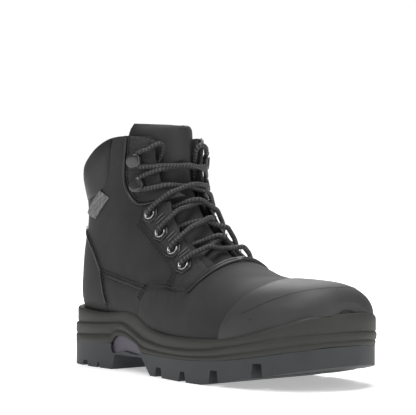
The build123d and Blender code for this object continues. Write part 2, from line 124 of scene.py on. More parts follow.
def toLast(points, side):
    # rib number and angle of side-view points, on the outer (-1) or inner (1) side
    found = []
    for x, z in points:
        gap = (seekGrid[side][..., 0] - x) ** 2 + (seekGrid[side][..., 2] - z) ** 2
        i, j = np.unravel_index(np.argmin(gap), gap.shape)
        s, turn = seekS[i], seekTurn[j]
        for _ in range(6):
            p = onLast([s], [side * turn])[0]
            ps = (onLast([s + 0.01], [side * turn])[0] - p) / 0.01
            pt = (onLast([s], [side * (turn + 0.005)])[0] - p) / 0.005
            m = np.array([[ps[0], pt[0]], [ps[2], pt[2]]])
            if abs(np.linalg.det(m)) < 20:
                break
            step = np.linalg.solve(m, [x - p[0], z - p[2]])
            s, turn = np.clip(s + np.clip(step[0], -0.3, 0.3), 0,
                              17.99), np.clip(turn + np.clip(step[1], -0.1, 0.1), 0, math.pi)
        found.append((s, side * turn))
    return np.array(found)


def denser(line, step=2.0):
    # points about step apart along a side-view or surface line
    line = np.asarray(line, float)
    out = [line[0]]
    for a, b in zip(line, line[1:]):
        n = max(1, int(np.linalg.norm(b - a) / step))
        out += [a + (b - a) * (i + 1) / n for i in range(n)]
    return np.array(out)


def smoothLine(line, step=2.0):
    # a natural spline through side-view points
    line = np.asarray(line, float)
    read = splineTable(line)
    return denser(read(np.linspace(0, len(line) - 1.0001, 12 * len(line))), step)


print("foot shape ready")


# shader groups and materials
def newGroup(name, inputs, outputs):
    group = bpy.data.node_groups.new(name, "ShaderNodeTree")
    for label, kind, value in inputs:
        socket = group.interface.new_socket(label, in_out="INPUT", socket_type=kind)
        if value is not None:
            socket.default_value = value
    for label, kind in outputs:
        group.interface.new_socket(label, in_out="OUTPUT", socket_type=kind)
    return group, group.nodes.new("NodeGroupInput"), group.nodes.new("NodeGroupOutput")


def addNode(tree, kind, settings=None, **inputs):
    node = tree.nodes.new(kind)
    for key, value in (settings or {}).items():
        setattr(node, key, value)
    for key, value in inputs.items():
        place = int(key[1:]) if key[0] == "i" and key[1:].isdigit() else key.replace("_", " ")
        if isinstance(value, bpy.types.NodeSocket):
            tree.links.new(value, node.inputs[place])
        else:
            node.inputs[place].default_value = value
    return node


def mathNode(tree, operation, a, b=None):
    node = addNode(tree, "ShaderNodeMath", {"operation": operation}, i0=a)
    if isinstance(b, bpy.types.NodeSocket):
        tree.links.new(b, node.inputs[1])
    elif b is not None:
        node.inputs[1].default_value = b
    return node.outputs[0]


# grain: fine pores, soft creases and cloudy shade from one position input
grainGroup, gi, go = newGroup("hideGrain", [("Position", "NodeSocketVector", None),
                                            ("Pore Size", "NodeSocketFloat", 900.0),
                                            ("Crease Depth", "NodeSocketFloat", 0.4)],
                              [("Height", "NodeSocketFloat"), ("Cloud", "NodeSocketFloat")])
pores = addNode(grainGroup, "ShaderNodeTexVoronoi", {"feature": "SMOOTH_F1"}, Vector=gi.outputs["Position"],
                Scale=gi.outputs["Pore Size"])
fuzz = addNode(grainGroup, "ShaderNodeTexNoise", None, Vector=gi.outputs["Position"], Scale=420.0,
               Detail=6.0, Roughness=0.65)
crease = addNode(grainGroup, "ShaderNodeTexNoise", None, Vector=gi.outputs["Position"], Scale=55.0,
                 Detail=5.0, Roughness=0.6, Distortion=1.2)
cloud = addNode(grainGroup, "ShaderNodeTexNoise", None, Vector=gi.outputs["Position"], Scale=38.0,
                Detail=7.0, Roughness=0.62)
deep = mathNode(grainGroup, "MULTIPLY", crease.outputs["Fac"], gi.outputs["Crease Depth"])
skinHeight = mathNode(grainGroup, "ADD", mathNode(grainGroup, "MULTIPLY", pores.outputs["Distance"], 0.5),
                      fuzz.outputs["Fac"])
grainGroup.links.new(mathNode(grainGroup, "ADD", skinHeight, deep), go.inputs["Height"])
grainGroup.links.new(cloud.outputs["Fac"], go.inputs["Cloud"])

# weave: over-and-under threads from the piece's own UV map, counted in threads per metre
weaveGroup, wi, wo = newGroup("threadWeave", [("UV", "NodeSocketVector", None),
                                              ("Threads", "NodeSocketFloat", 900.0)],
                              [("Height", "NodeSocketFloat"), ("Slub And Painted Gap Shade", "NodeSocketFloat")])
split = addNode(weaveGroup, "ShaderNodeSeparateXYZ", None, i0=wi.outputs["UV"])
turns = mathNode(weaveGroup, "MULTIPLY", wi.outputs["Threads"], math.pi)
waveU = mathNode(weaveGroup, "SINE", mathNode(weaveGroup, "MULTIPLY", split.outputs[0], turns))
waveV = mathNode(weaveGroup, "SINE", mathNode(weaveGroup, "MULTIPLY", split.outputs[1], turns))
absU = mathNode(weaveGroup, "ABSOLUTE", waveU)
absV = mathNode(weaveGroup, "ABSOLUTE", waveV)
sameSide = mathNode(weaveGroup, "GREATER_THAN", mathNode(weaveGroup, "MULTIPLY", waveU, waveV), 0.0)
warp = mathNode(weaveGroup, "MULTIPLY", absU, sameSide)
weft = mathNode(weaveGroup, "MULTIPLY", absV, mathNode(weaveGroup, "SUBTRACT", 1.0, sameSide))
cloth = mathNode(weaveGroup, "ADD", warp, weft)
weaveGroup.links.new(cloth, wo.inputs["Height"])
# colour is random slub tone times the weave relief: painted shade in the gaps between threads, painted highlight on
# the thread crests
slub = addNode(weaveGroup, "ShaderNodeTexNoise", None, Vector=wi.outputs["UV"], Scale=260.0, Detail=3.0)
weaveGroup.links.new(mathNode(weaveGroup, "MULTIPLY", cloth, slub.outputs["Fac"]), wo.inputs["Slub And Painted Gap Shade"])


def newMaterial(name):
    mat = bpy.data.materials.new(name)
    mat.use_nodes = True
    return mat, mat.node_tree, mat.node_tree.nodes["Principled BSDF"]


def shade(tree, shader, amount, low, dark, high, light):
    # the base colour runs from dark to light as amount goes from low to high
    ramp = addNode(tree, "ShaderNodeValToRGB", None, Fac=amount)
    for stop, place, colour in zip(ramp.color_ramp.elements, (low, high), (dark, light)):
        stop.position, stop.color = place, (*colour, 1)
    tree.links.new(ramp.outputs["Color"], shader.inputs["Base Color"])


def roughen(tree, shader, amount, smooth, rough):
    spread = addNode(tree, "ShaderNodeMapRange", None, Value=amount, To_Min=smooth, To_Max=rough)
    tree.links.new(spread.outputs[0], shader.inputs["Roughness"])


def emboss(tree, shader, height, strength, distance):
    lift = addNode(tree, "ShaderNodeBump", None, Strength=strength, Distance=distance, Height=height)
    tree.links.new(lift.outputs["Normal"], shader.inputs["Normal"])


def hideMaterial(name, dark, light, rough, pore, crease, bump, sheen=0.0, coat=0.0):
    mat, tree, shader = newMaterial(name)
    place = addNode(tree, "ShaderNodeTexCoord")
    grain = addNode(tree, "ShaderNodeGroup", {"node_tree": grainGroup}, Position=place.outputs["Object"],
                    Pore_Size=pore, Crease_Depth=crease)
    shade(tree, shader, grain.outputs["Cloud"], 0.32, dark, 0.68, light)
    roughen(tree, shader, grain.outputs["Cloud"], rough - 0.06, rough + 0.07)
    emboss(tree, shader, grain.outputs["Height"], bump, 0.0004)
    shader.inputs["Specular IOR Level"].default_value = 0.35
    shader.inputs["Sheen Weight"].default_value = sheen
    shader.inputs["Sheen Roughness"].default_value = 0.5
    shader.inputs["Coat Weight"].default_value = coat
    shader.inputs["Coat Roughness"].default_value = 0.35
    return mat


def weaveMaterial(name, dark, light, rough, threads, bump):
    mat, tree, shader = newMaterial(name)
    own = addNode(tree, "ShaderNodeUVMap", {"uv_map": "UVMap"})
    weave = addNode(tree, "ShaderNodeGroup", {"node_tree": weaveGroup}, UV=own.outputs["UV"], Threads=threads)
    # base colour takes the weave's painted gap shade and crest highlight, broken by random slub tone
    shade(tree, shader, weave.outputs["Slub And Painted Gap Shade"], 0.1, dark, 0.6, light)
    shader.inputs["Roughness"].default_value = rough
    emboss(tree, shader, weave.outputs["Height"], bump, 0.0005)
    return mat


def mouldedMaterial(name, colour, rough, metal=0.0, bump=0.12, scale=600.0, coat=0.0):
    mat, tree, shader = newMaterial(name)
    place = addNode(tree, "ShaderNodeTexCoord")
    speck = addNode(tree, "ShaderNodeTexNoise", None, Vector=place.outputs["Object"], Scale=scale, Detail=4.0)
    patchy = addNode(tree, "ShaderNodeTexNoise", None, Vector=place.outputs["Object"], Scale=30.0,
                     Detail=6.0, Roughness=0.6)
    darker, lighter = [c * 0.82 for c in colour], [c * 1.18 for c in colour]
    shade(tree, shader, patchy.outputs["Fac"], 0.3, darker, 0.7, lighter)
    roughen(tree, shader, patchy.outputs["Fac"], max(0.05, rough - 0.07), rough + 0.08)
    emboss(tree, shader, speck.outputs["Fac"], bump, 0.0003)
    shader.inputs["Metallic"].default_value = metal
    shader.inputs["Coat Weight"].default_value = coat
    return mat


def laceMaterial():
    # braided cord: diagonal strands and light flecks across it, from the tube's own UV (x round, y along in metres)
    mat, tree, shader = newMaterial("braidedLace")
    own = addNode(tree, "ShaderNodeUVMap", {"uv_map": "UVMap"})
    axes = addNode(tree, "ShaderNodeSeparateXYZ", None, i0=own.outputs["UV"])
    around, alongIt = axes.outputs[0], axes.outputs[1]
    strands = {}
    for way, sign in (("left", 1.0), ("right", -1.0)):
        tilt = mathNode(tree, "MULTIPLY", around, sign * 8 * math.pi)
        run = mathNode(tree, "MULTIPLY", alongIt, 2 * math.pi / 0.0031)
        strands[way] = mathNode(tree, "SINE", mathNode(tree, "ADD", tilt, run))
    braid = mathNode(tree, "MAXIMUM", mathNode(tree, "ABSOLUTE", strands["left"]),
                     mathNode(tree, "ABSOLUTE", strands["right"]))
    fleck = mathNode(tree, "SINE", mathNode(tree, "ADD", mathNode(tree, "MULTIPLY", alongIt,
                                                                  2 * math.pi / 0.0027),
                                            mathNode(tree, "MULTIPLY", around, 2 * math.pi)))
    fine = mathNode(tree, "GREATER_THAN", fleck, 0.72)
    brokenUp = addNode(tree, "ShaderNodeTexNoise", None, Vector=own.outputs["UV"], Scale=160.0, Detail=2.0)
    shown = mathNode(tree, "MULTIPLY", fine, mathNode(tree, "GREATER_THAN", brokenUp.outputs["Fac"], 0.47))
    colour = addNode(tree, "ShaderNodeMix", {"data_type": "RGBA"}, i0=shown)
    colour.inputs[6].default_value = (0.012, 0.012, 0.013, 1)
    colour.inputs[7].default_value = (0.11, 0.11, 0.115, 1)
    tree.links.new(colour.outputs[2], shader.inputs["Base Color"])
    shader.inputs["Roughness"].default_value = 0.62
    emboss(tree, shader, braid, 0.7, 0.0005)
    return mat


mats = {
    "nubuck": hideMaterial("charcoalNubuck", (0.010, 0.010, 0.0105), (0.0185, 0.0185, 0.019), 0.72, 1500.0,
                           0.5, 0.30, sheen=0.06),
    "smoothLeather": hideMaterial("softBlackLeather", (0.008, 0.008, 0.0085), (0.013, 0.013, 0.0135), 0.5,
                                  1100.0, 0.7, 0.28),
    "tongueLeather": hideMaterial("tongueLeather", (0.013, 0.013, 0.014), (0.022, 0.022, 0.023), 0.56,
                                  1300.0, 0.4, 0.22),
    "foldedEdge": hideMaterial("foldedEdge", (0.006, 0.006, 0.0065), (0.010, 0.010, 0.0105), 0.34, 1600.0,
                               0.3, 0.15, coat=0.25),
    "ballistic": weaveMaterial("ballisticNylon", (0.006, 0.006, 0.0065), (0.030, 0.030, 0.031), 0.55,
                               1000.0, 0.85),
    "tongueFabric": weaveMaterial("tongueFabric", (0.006, 0.006, 0.0065), (0.019, 0.019, 0.0195), 0.75,
                                  1900.0, 0.5),
    "lining": hideMaterial("brushedLining", (0.010, 0.010, 0.011), (0.020, 0.020, 0.021), 0.9, 2600.0, 0.2,
                           0.5, sheen=0.15),
    "bumper": mouldedMaterial("satinBumper", (0.026, 0.026, 0.027), 0.56, bump=0.14, scale=1500.0),
    "midsole": mouldedMaterial("foamedMidsole", (0.020, 0.021, 0.0175), 0.62, bump=0.22, scale=1100.0),
    "outsole": mouldedMaterial("lugRubber", (0.024, 0.027, 0.030), 0.55, bump=0.2, scale=900.0),
    "shank": mouldedMaterial("shankPlastic", (0.055, 0.047, 0.068), 0.4, bump=0.05),
    "gunmetal": mouldedMaterial("gunmetal", (0.32, 0.32, 0.33), 0.26, metal=1.0, bump=0.03, scale=2500.0),
    "hookBlack": mouldedMaterial("blackEnamel", (0.012, 0.012, 0.013), 0.3, bump=0.03, coat=0.5),
    "lace": laceMaterial(),
    "thread": mouldedMaterial("waxedThread", (0.004, 0.004, 0.004), 0.4, bump=0.2, scale=3000.0),
    "tackThread": mouldedMaterial("tackThread", (0.11, 0.11, 0.115), 0.55, bump=0.2, scale=3000.0),
    "label": weaveMaterial("plainLabel", (0.07, 0.07, 0.073), (0.17, 0.17, 0.175), 0.7, 330.0, 0.4),
    "board": mouldedMaterial("fibreBoard", (0.36, 0.32, 0.25), 0.85, bump=0.4, scale=500.0),
    "steelCap": mouldedMaterial("coatedSteel", (0.05, 0.14, 0.08), 0.4, metal=0.3, bump=0.05),
    "plate": mouldedMaterial("plateTextile", (0.55, 0.5, 0.22), 0.8, bump=0.4, scale=700.0),
    "footbedFelt": hideMaterial("footbedFelt", (0.02, 0.022, 0.025), (0.04, 0.042, 0.047), 0.92, 2200.0,
                                0.2, 0.6, sheen=0.2),
    "foamCore": mouldedMaterial("openFoam", (0.09, 0.09, 0.1), 0.9, bump=0.5, scale=900.0),
    "aglet": mouldedMaterial("glossTip", (0.01, 0.01, 0.01), 0.2, bump=0.0, coat=0.6),
}
print("materials made")


# mesh helpers
def finish(obj, body, slotName, *nodes):
    for face in obj.data.polygons:
        face.use_smooth = True
    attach(obj, body)
    if nodes:
        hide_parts(*nodes)
    return obj


def makeObject(name, verts, faces, mat, uv=None):
    mesh = bpy.data.meshes.new(name)
    place = np.asarray(verts, float) * 0.001
    place[:, 0] -= halfSole * 0.001
    mesh.from_pydata([tuple(v) for v in place], [], [tuple(f) for f in faces])
    if uv is not None:
        layer = mesh.uv_layers.new(name="UVMap")
        index = np.empty(len(mesh.loops), int)
        mesh.loops.foreach_get("vertex_index", index)
        layer.data.foreach_set("uv", np.asarray(uv, float)[index].ravel())
    mesh.materials.append(mat)
    mesh.validate()
    obj = bpy.data.objects.new(name, mesh)
    bpy.context.collection.objects.link(obj)
    return obj


girthAt = 40.0  # turns become millimetres at this radius for laying out patches
ribLength = np.concatenate([[0], np.cumsum(np.linalg.norm(np.diff(
    0.5 * onLast(np.arange(0, 18, 0.1), math.pi / 2) + 0.5 * onLast(np.arange(0, 18, 0.1), 0.0), axis=0),
    axis=1))])


def toFlat(loc):
    return np.column_stack([np.interp(loc[:, 0], np.arange(0, 18, 0.1), ribLength), loc[:, 1] * girthAt])


def fromFlat(flat):
    return np.column_stack([np.interp(flat[:, 0], ribLength, np.arange(0, 18, 0.1)), flat[:, 1] / girthAt])


def edgeDistance(points, loop):
    a, b = loop, np.roll(loop, -1, axis=0)
    best = np.full(len(points), 1e9)
    for p0, p1 in zip(a, b):
        d = p1 - p0
        t = np.clip(((points - p0) @ d) / max(d @ d, 1e-9), 0, 1)
        best = np.minimum(best, np.linalg.norm(points - p0 - t[:, None] * d, axis=1))
    return best


def insideLoop(points, loop):
    x, y = points[:, 0], points[:, 1]
    inside = np.zeros(len(points), bool)
    for (x0, y0), (x1, y1) in zip(loop, np.roll(loop, -1, axis=0)):
        hit = ((y0 > y) != (y1 > y)) & (x < (x1 - x0) * (y - y0) / (y1 - y0 + 1e-12) + x0)
        inside ^= hit
    return inside


def patch(name, outline, height, thick, mat, step=2.2, crown=0.0, soften=0.45):
    # a closed panel over the foot shape: outline in rib numbers and angles, height above the shape by edge distance
    loop = toFlat(np.asarray(outline))
    keep = [0]
    for i in range(1, len(loop)):
        if np.linalg.norm(loop[i] - loop[keep[-1]]) > 0.4:
            keep.append(i)
    if np.linalg.norm(loop[keep[-1]] - loop[0]) < 0.4:
        keep.pop()
    loop = loop[keep]
    low, high = loop.min(0), loop.max(0)
    rows = np.arange(low[1], high[1], step * 0.866)
    grid = np.concatenate([np.column_stack([np.arange(low[0] + (step / 2 if i % 2 else 0), high[0], step),
                                            np.full(len(np.arange(low[0] + (step / 2 if i % 2 else 0),
                                                                  high[0], step)), row)])
                           for i, row in enumerate(rows)])
    grid = grid[insideLoop(grid, loop)]
    grid = grid[edgeDistance(grid, loop) > 0.55 * step]
    points = np.concatenate([loop, grid])
    edges = [(i, (i + 1) % len(loop)) for i in range(len(loop))]
    found = delaunay_2d_cdt([Vector(p) for p in points], edges, [], 1, 1e-4)
    flat = np.array([tuple(v) for v in found[0]])
    tris = np.array([list(f) for f in found[2] if len(f) == 3])
    loc = fromFlat(flat)
    away = edgeDistance(flat, loop)
    lift = height(away, loc) if callable(height) else np.full(len(loc), float(height))
    top = raised(loc[:, 0], loc[:, 1], lift, crown)
    under = raised(loc[:, 0], loc[:, 1], lift - thick, crown)
    a, b, c = top[tris[:, 0]], top[tris[:, 1]], top[tris[:, 2]]
    facing = np.cross(b - a, c - a)
    wanted = outward(loc[tris[:, 0], 0], loc[tris[:, 0], 1])
    if (facing * wanted).sum() < 0:
        tris = tris[:, ::-1]
    n = len(top)
    used = {}
    for t in tris:
        for i, j in ((t[0], t[1]), (t[1], t[2]), (t[2], t[0])):
            used[(i, j)] = used.get((i, j), 0) + 1
    rim = [(i, j) for i, j in used if (j, i) not in used]
    faces = [tuple(t) for t in tris] + [tuple(t[::-1] + n) for t in tris] + [(j, i, i + n, j + n) for i,
                                                                             j in rim]
    obj = makeObject(name, np.concatenate([top, under]), faces, mat, np.tile(flat * 0.001, (2, 1)))
    if soften:
        bevel = obj.modifiers.new("softEdge", "BEVEL")
        bevel.width, bevel.segments, bevel.limit_method, bevel.angle_limit = soften * 0.001, 2, "ANGLE", math.radians(55)
        bevel.harden_normals = False
    return obj


def tube(name, route, radius, mat, around=10, widths=None):
    # a round tube along a route in millimetres, its UV running round and along
    route = np.asarray(route, float)
    keep = np.concatenate([[True], np.linalg.norm(np.diff(route, axis=0), axis=1) > 0.05])
    route = route[keep]
    tangent = np.gradient(route, axis=0)
    tangent /= np.linalg.norm(tangent, axis=1, keepdims=True)
    side = np.cross(tangent[0], (0, 0, 1) if abs(tangent[0][2]) < 0.9 else (1, 0, 0))
    length = 0.0
    verts, uv = [], []
    for i, (p, t) in enumerate(zip(route, tangent)):
        side = side - t * (side @ t)
        side /= np.linalg.norm(side)
        other = np.cross(t, side)
        if i:
            length += np.linalg.norm(p - route[i - 1])
        r = radius * (1.0 if widths is None else widths[i])
        for k in range(around):
            a = 2 * math.pi * k / around
            verts.append(p + r * (math.cos(a) * side + math.sin(a) * other))
            uv.append((k / around, length * 0.001))
    faces = []
    for i in range(len(route) - 1):
        for k in range(around):
            a, b = i * around + k, i * around + (k + 1) % around
            faces.append((a, b, b + around, a + around))
    last = (len(route) - 1) * around
    faces.append(tuple(range(around))[::-1])
    faces.append(tuple(range(last, last + around)))
    return makeObject(name, verts, faces, mat, uv)


def onSeam(line, side, height=0.0, sideways=0.0, crown=0.0):
    # points over a side-view line, moved sideways along the surface
    loc = toLast(line, side)
    points = raised(loc[:, 0], loc[:, 1], height, crown)
    if sideways:
        along = np.gradient(points, axis=0)
        along /= np.maximum(np.linalg.norm(along, axis=1, keepdims=True), 1e-9)
        points = points + np.cross(outward(loc[:, 0], loc[:, 1]), along) * sideways
    return points


# seam lines, side view in millimetres
seams = {
    "throat": [(178, 66), (187, 79), (193, 91)],
    "wing": [(115, 40), (116, 48), (119, 56), (124, 62.5), (132, 66), (151, 66), (166, 64.5), (178, 66)],
    "heelEdge": [(67.5, 40), (66, 52), (63, 62), (60, 74), (55, 83), (42, 99), (26, 111)],
    "foxingTop": [(60, 74), (93, 68), (124, 62.5)],
    "quarterFront": [(106, 119), (116, 112), (129, 102), (144, 92), (156, 82), (157, 74), (155, 65.7)],
    "facingFoot": [(98, 134), (106, 131.5), (120, 134), (135, 138)],
    "bumper": [(226, 28), (226, 33), (229, 44), (235, 55), (242, 65), (249, 73)],
    "collarFoot": [(6, 137), (30, 136), (50, 139), (60, 143), (68, 151), (72, 165), (77, 184)],
    "quarterTop": [(77, 184.5), (92, 186), (106, 184.8), (113.5, 182)],
    "gapEdge": [(113.7, 182), (113.3, 168), (117.5, 150), (123, 138), (134, 122), (149, 105), (163, 95),
                (178, 86), (188, 80)],
    "facingEdge": [(93, 186), (91, 172), (88, 155), (91, 142), (98, 134)],
    "label": [(58, 143), (70, 137), (50, 120), (31, 125)],
}
feather = [(300, 47), (285, 41), (258, 34), (232, 29), (205, 27), (172, 26), (155, 27), (129, 32), (115, 40)]


def arc(s0, turn0, s1, turn1, n=24):
    t = np.linspace(0, 1, n)
    return np.column_stack([s0 + (s1 - s0) * t, turn0 + (turn1 - turn0) * t])


def backLoc(points, side):
    # like toLast, with the outer side's angles above pi so that a panel can go round the heel
    loc = toLast(points, side)
    loc[:, 1] = np.where(loc[:, 1] < 0, loc[:, 1] + 2 * math.pi, loc[:, 1])
    return loc


# panels of the upper
def joined(*parts):
    return np.concatenate([np.asarray(p, float) for p in parts])


def seamDip(away, offsets, depth=0.3):
    dip = 0
    for place in offsets:
        dip = dip + depth * np.exp(-((away - place) / 0.75) ** 2)
    return dip


def leatherHeight(base, puff=0.5, offsets=(3.2,), depth=0.3, roll=0.25):
    def height(away, loc):
        lumps = 0.16 * np.sin(loc[:, 0] * 5.1 + 2.2 * np.sin(loc[:, 1] * 3.3)) * np.clip(away / 18, 0, 1)
        edge = -roll * np.exp(-(away / 1.1) ** 2)
        return base + puff * np.clip(away / 16, 0, 1) + lumps + edge - seamDip(away, offsets, depth)
    return height


surfaces = {
    "eyestay": {"base": -0.35, "puff": 0.1, "offsets": (), "depth": 0.0, "roll": 0.0},
    "quarter": {"base": 0.35, "puff": 0.45, "offsets": (2.6, 5.2), "depth": 0.28, "roll": 0.2},
    "foxing": {"base": 0.45, "puff": 0.3, "offsets": (2.6, 5.0), "depth": 0.25, "roll": 0.2},
    "facing": {"base": 0.35, "puff": 0.2, "offsets": (2.6,), "depth": 0.25, "roll": 0.2},
    "backstay": {"base": 0.75, "puff": 0.4, "offsets": (2.8,), "depth": 0.25, "roll": 0.2},
    "vamp": {"base": 1.0, "puff": 0.5, "offsets": (2.6, 5.0), "depth": 0.3, "roll": 0.3},
}

sides = {"outer": -1, "inner": 1}
featherOut = {side: toLast(denser([(292, 44), (285, 41)] + feather[2:], 3), side) for side in (-1, 1)}
wingLine = {side: toLast(denser(seams["wing"]), side) for side in (-1, 1)}
throatLine = {side: toLast(denser(seams["throat"]), side) for side in (-1, 1)}
toeEnd = featherOut[1][0][1]
toeFront = np.column_stack([np.full(40, 0.02), np.linspace(toeEnd, -toeEnd, 40)])
acrossThroat = arc(*throatLine[-1][-1], *throatLine[1][-1], 30)[1:-1]
vampOutline = joined(featherOut[-1], wingLine[-1][1:], throatLine[-1][1:], acrossThroat, throatLine[1][::-1],
                     wingLine[1][::-1][1:], featherOut[1][::-1][1:], toeFront)
vamp = patch("vampPanel", vampOutline, leatherHeight(**surfaces["vamp"]), 2.6, mats["nubuck"])
finish(vamp, "boot", "nubuck", "vamp")
print("vamp made", len(vamp.data.polygons))

backLine = {side: backLoc(denser(seams["heelEdge"]), side) for side in (-1, 1)}
backTop = arc(*backLine[1][-1], *backLine[-1][-1], 30)
footLine = {side: backLoc(denser([(67.5, 40), (40, 41), (20, 42), (10, 42.5)], 3), side) for side in (-1, 1)}
backOutline = joined(backLine[1], backTop[1:-1], backLine[-1][::-1], footLine[-1][1:], footLine[1][::-1][:-1])
backstay = patch("backstayPanel", backOutline, leatherHeight(**surfaces["backstay"]), 2.4, mats["nubuck"])
finish(backstay, "boot", "nubuck", "backstay")

for label, side in sides.items():
    def onSide(line, step=2.0):
        return toLast(denser(line, step), side)

    foxing = patch(label + "Foxing", onSide(seams["foxingTop"] + seams["wing"][::-1][4:] + [(102, 42),
                                                                                            (67.5, 40)]
                                            + seams["heelEdge"][1:3]), leatherHeight(**surfaces["foxing"]),
                                            2.4, mats["nubuck"])
    finish(foxing, "boot", "nubuck", "foxing_" + label)
    quarterLine = joined(backLoc(denser(seams["heelEdge"][:2:-1] + [seams["heelEdge"][3]]), side),
                         backLoc(denser(seams["foxingTop"]), side),
                         backLoc(denser([(124, 62.5), (132, 66), (151, 66)] + seams["quarterFront"][::-1]),
                                 side)[1:],
                         backLoc(denser([(106, 119), (106, 131.5)] + seams["facingEdge"][::-1] + [(93, 186),
                                                                                                  (77,
                                                                                                   184.5)]),
                                                                                                   side)[1:],
                         backLoc(denser(seams["collarFoot"][::-1]), side)[1:])
    quarter = patch(label + "Quarter", quarterLine, leatherHeight(**surfaces["quarter"]), 2.2, mats["nubuck"])
    finish(quarter, "boot", "nubuck", "quarter_" + label)
    eyestay = patch(label + "Eyestay", onSide(seams["quarterFront"] + [(166, 64.5), (178, 66), (188, 80)]
                                              + seams["gapEdge"][::-1][1:5] + [(128,
                                                                                134)] + seams["facingFoot"][::-1][1:]),
                    leatherHeight(**surfaces["eyestay"]), 2.2, mats["ballistic"])
    finish(eyestay, "boot", "ballistic", "eyestay_" + label)
    facing = patch(label + "Facing",
                   onSide(seams["facingEdge"] + seams["facingFoot"][1:] + seams["gapEdge"][:4][::-1][1:]
                                            + [(106, 184.8)]), leatherHeight(**surfaces["facing"]), 2.2,
                                            mats["ballistic"])
    finish(facing, "boot", "ballistic", "hook_facing_" + label)
print("panels made")


# places on the surface for hooks, eyelets and lace
gridTurn = np.linspace(-math.pi, math.pi, 241)
gridSkin = onLast(np.linspace(0, 17.99, 361)[:, None], gridTurn[None, :])
quads = [(i * 241 + j, i * 241 + j + 1, (i + 1) * 241 + j + 1,
          (i + 1) * 241 + j) for i in range(360) for j in range(240)]
skinTree = BVHTree.FromPolygons([Vector(p) for p in gridSkin.reshape(-1, 3)], quads)


def onRay(start, heading):
    heading = Vector(heading).normalized()
    spot, normal, _, _ = skinTree.ray_cast(Vector(start), heading)
    return spot, normal if normal.dot(heading) > 0 else -normal


def seat(x, z, side, front):
    # origin, the way the laces leave, across, and outwards
    spot, normal = onRay((x, 0, z), (0, side, 0))
    toward = Vector((front[0], 0, front[1]))
    ahead = (toward - normal * normal.dot(toward)).normalized()
    return spot, ahead, normal.cross(ahead), normal


def local(place, x, y, z):
    return place[0] + place[1] * x + place[2] * y + place[3] * z


eyeletSpots = [(162, 85, (0.62, 0.78)), (145.6, 96.6, (0.62, 0.78)), (128.6, 109.6, (0.65, 0.76)),
               (114.4, 124, (0.75, 0.66))]
hookSpots = [(101, 146, (0.92, 0.39)), (99, 166, (1.0, 0.08))]
eyeletSeats = {side: [seat(x, z, side, front) for x, z, front in eyeletSpots] for side in (-1, 1)}
hookSeats = {side: [seat(x, z, side, front) for x, z, front in hookSpots] for side in (-1, 1)}

# the lace: (angle, height) pairs across the boot, 90 over the hole it leaves, 0 the middle
lacing = {
    "radius": 2.0, "besideHook": 4.6,
    "overOut": [(76, 4.1), (64, 3.0), (54, 2.6), (45, 2.3)],
    "underOut": [(78, -6.9), (61, -6.8), (46, -6.7), (34, -6.1), (23, -5.2), (11, -4.4)],
    "low": [(0, -4.1)], "lowDrop": [(34, -1.0), (23, -3.6), (11, -4.3)],
    "high": [(0, 0.0)], "highDrop": [(34, 0.2), (23, -0.8), (11, -0.4)],
    "highUnder": [(11, -1.1), (23, -3.6), (34, -5.6), (46, -6.7), (61, -6.8), (78, -6.9)],
    "bar": [(0, -4.0), (11, -3.9), (23, -3.0), (34, -0.8)],
    "tail": [(97, 174, 68, 2.9), (97, 178, 57, 2.6), (97, 180, 47, -0.8), (97, 176, 42, -4.6),
             (97, 169, 48, -6.5),
             (97, 160, 58, -6.8), (97, 151, 64, -6.8)],
}


def mirrored(heights):
    return [(-angle, height) for angle, height in reversed(heights)]


def strand(start, end, side, heights):
    points = []
    for angle, height in heights:
        t = (90 - angle) / 180
        x, z = (a + (b - a) * t for a, b in zip(start[:2], end[:2]))
        fx, fz = (a + (b - a) * t for a, b in zip(start[2], end[2]))
        c, s = math.cos(math.radians(angle)), math.sin(math.radians(angle))
        spot, normal = onRay((x, 0, z), (fx * c, side * s, fz * c))
        points.append(spot + normal * height)
    return points


def hookLevel(k, shift):
    x, z, front = hookSpots[k]
    return x - front[1] * shift, z + front[0] * shift, front


def halfLace(first, drop, middle, inward):
    over = lacing["overOut"]
    side, gap = first, lacing["besideHook"]
    points = strand(eyeletSpots[0], eyeletSpots[0], side, lacing["bar"] + over[::-1])
    points += [local(eyeletSeats[side][0], 0, 0, h) for h in (4.8, 1.5, -7.2)]
    for k in range(3):
        points += strand(eyeletSpots[k], eyeletSpots[k + 1], side,
                         (over + drop if k else mirrored(inward)) + middle + inward)
        side = -side
        points += [local(eyeletSeats[side][k + 1], 0, 0, h) for h in (-7.2, 1.5, 4.8)]
    level = eyeletSpots[3]
    for k in range(2):
        points += strand(level, hookLevel(k, -gap), side, over + drop + middle + mirrored(over + drop))
        side = -side
        points += [local(hookSeats[side][k], 2.6, way * gap * side, 3.5) for way in (1, -1)]
        level = hookLevel(k, gap)
    points.append(local(hookSeats[side][1], 9, -7.0 * side, 3.4))
    for x, z, angle, height in lacing["tail"]:
        c, s = math.cos(math.radians(angle)), math.sin(math.radians(angle))
        spot, normal = onRay((x, 0, z), (c, side * s, 0))
        points.append(spot + normal * height)
    return points


